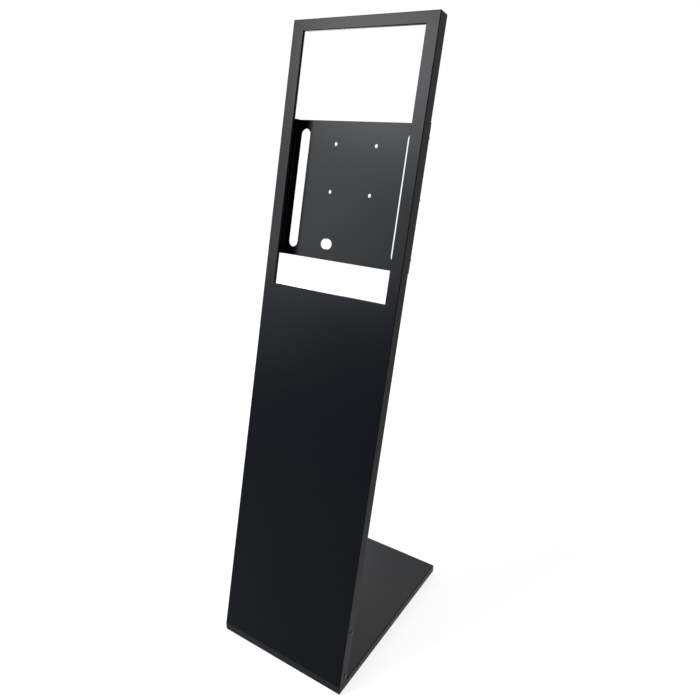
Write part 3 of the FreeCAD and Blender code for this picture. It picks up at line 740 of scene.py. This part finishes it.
@dataclass
class Studio:
    """White floor and surroundings, soft lamps, and the camera at the photograph's place."""

    sensor_width: float = 36.0
    lens_pixels: float = 630.7
    camera_azimuth: float = 33.415
    camera_elevation: float = 22.211
    camera_roll: float = -0.083
    camera_place: tuple[float, float, float] = (0.7473, -1.0657, 1.2563)
    picture_centre: tuple[float, float] = (349.28, 347.17)
    floor_reach: float = 30.0
    floor_colour: str = "#747474"
    near_light: float = 0.87
    near_radius: float = 0.9
    far_radius: float = 2.6
    ambient: float = 0.20

    def background_rays(self, tree: bpy.types.NodeTree) -> bpy.types.NodeSocket:
        """Gives one for camera, glossy and transmission rays and zero for the rest.

        Args:
            tree: node tree of the floor or the world.

        Returns:
            The socket that holds the value.
        """
        path = add_node(tree, "ShaderNodeLightPath").outputs
        seen = add_node(tree, "ShaderNodeMath", {0: path["Is Camera Ray"], 1: path["Is Glossy Ray"]},
                        operation="ADD")
        every = add_node(tree, "ShaderNodeMath", {0: seen.outputs[0], 1: path["Is Transmission Ray"]},
                         operation="ADD", use_clamp=True)
        return every.outputs[0]

    def build_floor(self) -> None:
        """Lays a white floor that keeps the stand's shadow, and is plain white further off."""
        mesh = bpy.data.meshes.new("studio_floor")
        shape = bmesh.new()
        bmesh.ops.create_grid(shape, x_segments=1, y_segments=1, size=self.floor_reach)
        shape.to_mesh(mesh)
        shape.free()
        floor = bpy.data.objects.new("studio_floor", mesh)
        bpy.context.scene.collection.objects.link(floor)
        material, tree = new_material("white_floor")
        place = add_node(tree, "ShaderNodeTexCoord").outputs["Object"]
        distance = add_node(tree, "ShaderNodeVectorMath", {0: place}, operation="LENGTH")
        level = add_node(tree, "ShaderNodeMapRange",
                         {"Value": distance.outputs["Value"], "From Min": self.near_radius,
                          "From Max": self.far_radius, "To Min": self.near_light, "To Max": 1.0},
                         interpolation_type="SMOOTHSTEP")
        own = add_node(tree, "ShaderNodeMath",
                       {0: self.background_rays(tree), 1: level.outputs["Result"]}, operation="MULTIPLY")
        paint = add_node(tree, "ShaderNodeBsdfPrincipled",
                         {"Base Color": linear(self.floor_colour), "Roughness": 1.0,
                          "Specular IOR Level": 0.0, "Emission Color": (1, 1, 1, 1),
                          "Emission Strength": own.outputs[0]})
        add_node(tree, "ShaderNodeOutputMaterial", {"Surface": paint.outputs["BSDF"]})
        mesh.materials.append(material)

    def build_world(self) -> None:
        """Surrounds the stand with white, at a lower level where it lights the stand."""
        world = bpy.data.worlds.new("studio")
        bpy.context.scene.world = world
        world.use_nodes = True
        tree = world.node_tree
        tree.nodes.clear()
        level = add_node(tree, "ShaderNodeMapRange",
                         {"Value": self.background_rays(tree), "To Min": self.ambient, "To Max": 1.0})
        light = add_node(tree, "ShaderNodeBackground",
                         {"Color": (1, 1, 1, 1), "Strength": level.outputs["Result"]})
        add_node(tree, "ShaderNodeOutputWorld", {"Surface": light.outputs["Background"]})

    def build_lamps(self) -> None:
        """Hangs three softboxes whose reflection gives the face its gradient, and two behind."""
        window, base, panel = (0.0, 0.05, 1.15), (0.0, 0.0, 0.2), (0.0, 0.0, 0.8)
        for softbox in (
            Softbox("key_softbox", (-1.075, -1.57, 2.369), window, (0.98, 0.83), 71.0),
            Softbox("fill_softbox", (-1.287, -1.808, 1.574), window, (1.07, 0.90), 25.0),
            Softbox("low_softbox", (-1.472, -1.706, 1.353), window, (0.44, 1.41), 6.0),
            Softbox("top_softbox", (-0.9, 1.7, 2.3), base, (1.4, 1.4), 30.5),
            Softbox("rear_softbox", (-1.5, 1.5, 1.0), panel, (1.0, 1.2), 36.0),
        ):
            softbox.hang()

    def build_camera(self) -> None:
        """Puts the camera where the photograph was taken from."""
        data = bpy.data.cameras.new("photograph")
        data.sensor_width = self.sensor_width
        data.lens = self.lens_pixels / IMAGE_WIDTH * data.sensor_width
        data.shift_x = (IMAGE_WIDTH / 2 - self.picture_centre[0]) / IMAGE_WIDTH
        data.shift_y = (self.picture_centre[1] - IMAGE_WIDTH / 2) / IMAGE_WIDTH
        camera = bpy.data.objects.new("photograph", data)
        bpy.context.scene.collection.objects.link(camera)
        camera.location = self.camera_place
        turn = (Matrix.Rotation(math.radians(self.camera_azimuth), 3, "Z")
                @ Matrix.Rotation(math.radians(90.0 - self.camera_elevation), 3, "X")
                @ Matrix.Rotation(math.radians(self.camera_roll), 3, "Z"))
        camera.rotation_euler = turn.to_euler()
        bpy.context.scene.camera = camera

    def build(self) -> None:
        """Builds the whole studio."""
        self.build_camera()
        self.build_floor()
        self.build_world()
        self.build_lamps()
        bpy.context.scene.view_settings.view_transform = "Standard"


def main() -> None:
    """Builds the studio, then the stand."""
    logging.basicConfig(level=logging.INFO, format="%(message)s")
    Studio().build()
    finishes = {
        Slot.POWDER_COAT: PowderCoat().build(),
        Slot.ZINC: FastenerSteel("zinc_plated_turned_steel", "#b9bcbf", "#a9acb0", 0.30).build(),
        Slot.BLACK_OXIDE: FastenerSteel("black_oxide_steel", "#4c4d50", "#58585a", 0.24).build(),
        Slot.RUBBER: MouldedRubber().build(),
    }
    BracketFasteners(finishes).build()
    CornerFasteners(finishes).build()
    Underside(finishes).build()
    SheetMetal(finishes).build()


if __name__ == "__main__":
    main()
